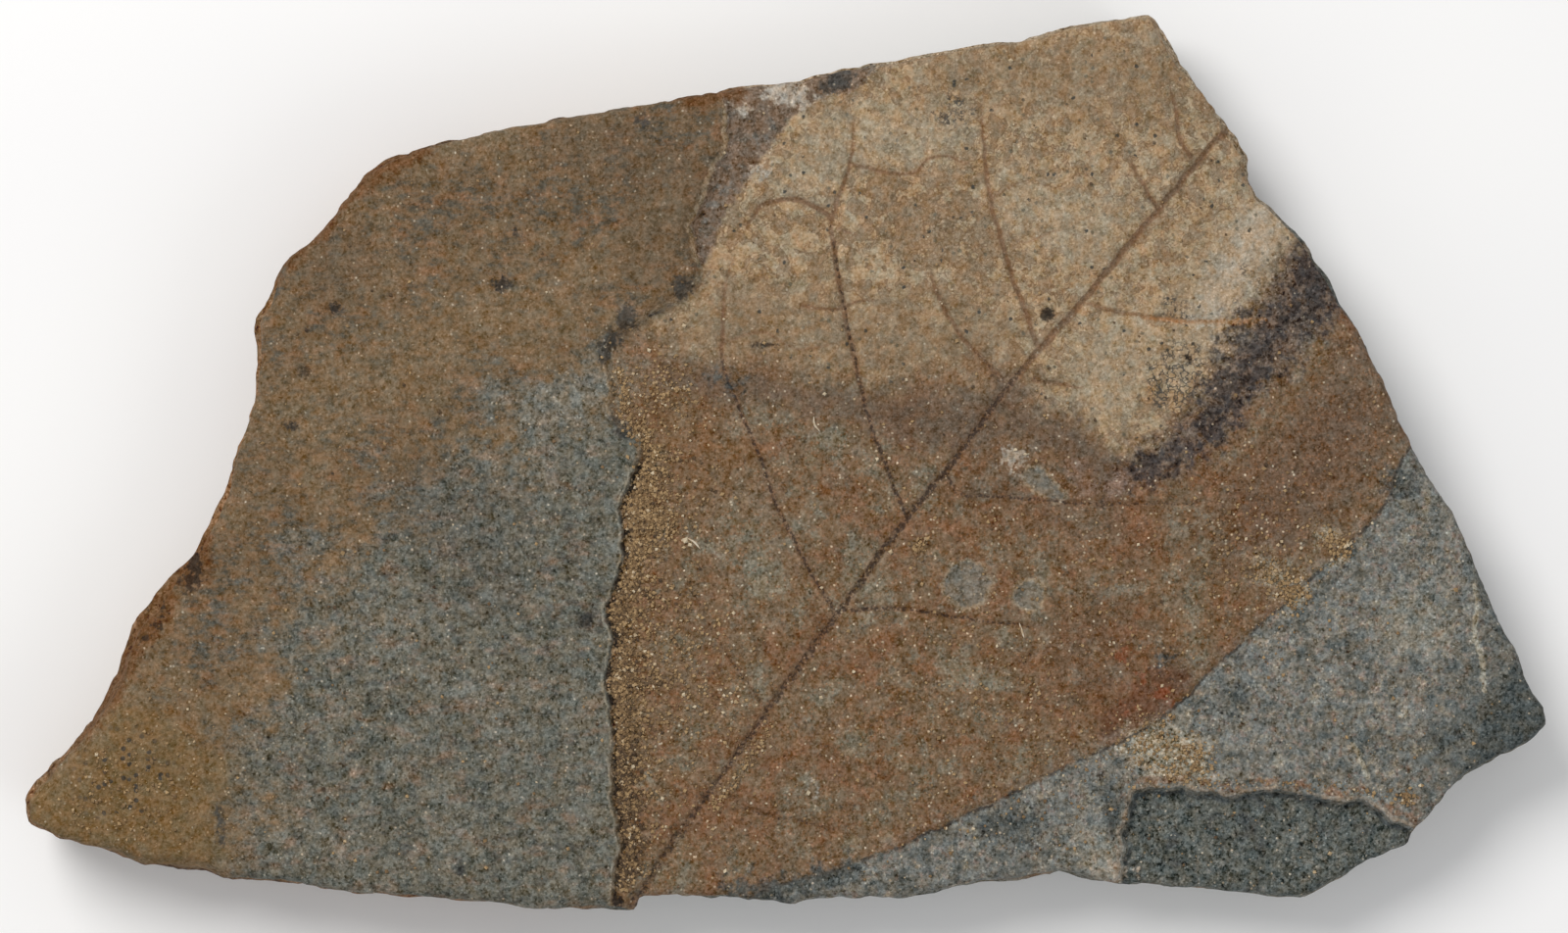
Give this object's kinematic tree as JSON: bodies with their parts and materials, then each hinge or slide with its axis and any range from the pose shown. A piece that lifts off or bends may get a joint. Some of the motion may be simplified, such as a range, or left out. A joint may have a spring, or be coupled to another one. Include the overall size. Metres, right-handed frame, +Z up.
{
  "type": "fossil leaf slab",
  "caption": "Flat broken slab of bedded sandstone with a large leaf impression: midrib and side veins in low relief, a flake of the bed above along one side.",
  "frame": {"origin": "on the flat underside, below the middle of the slab's bounding box", "axes": "+Z up out of the face that carries the leaf; +X along the slab's long side, from the covered left end to the pointed right end; +Y across it, towards the leaf's tip side"},
  "size_m": [0.1948, 0.1148, 0.0175],
  "materials": {
    "fossil_stone": "dull, fine-grained sandstone, red-brown to grey with a bleached tan leaf tip"
  },
  "bodies": {
    "root": {"fossil_leaf_slab": "fossil_stone"}
  },
  "joints": []
}
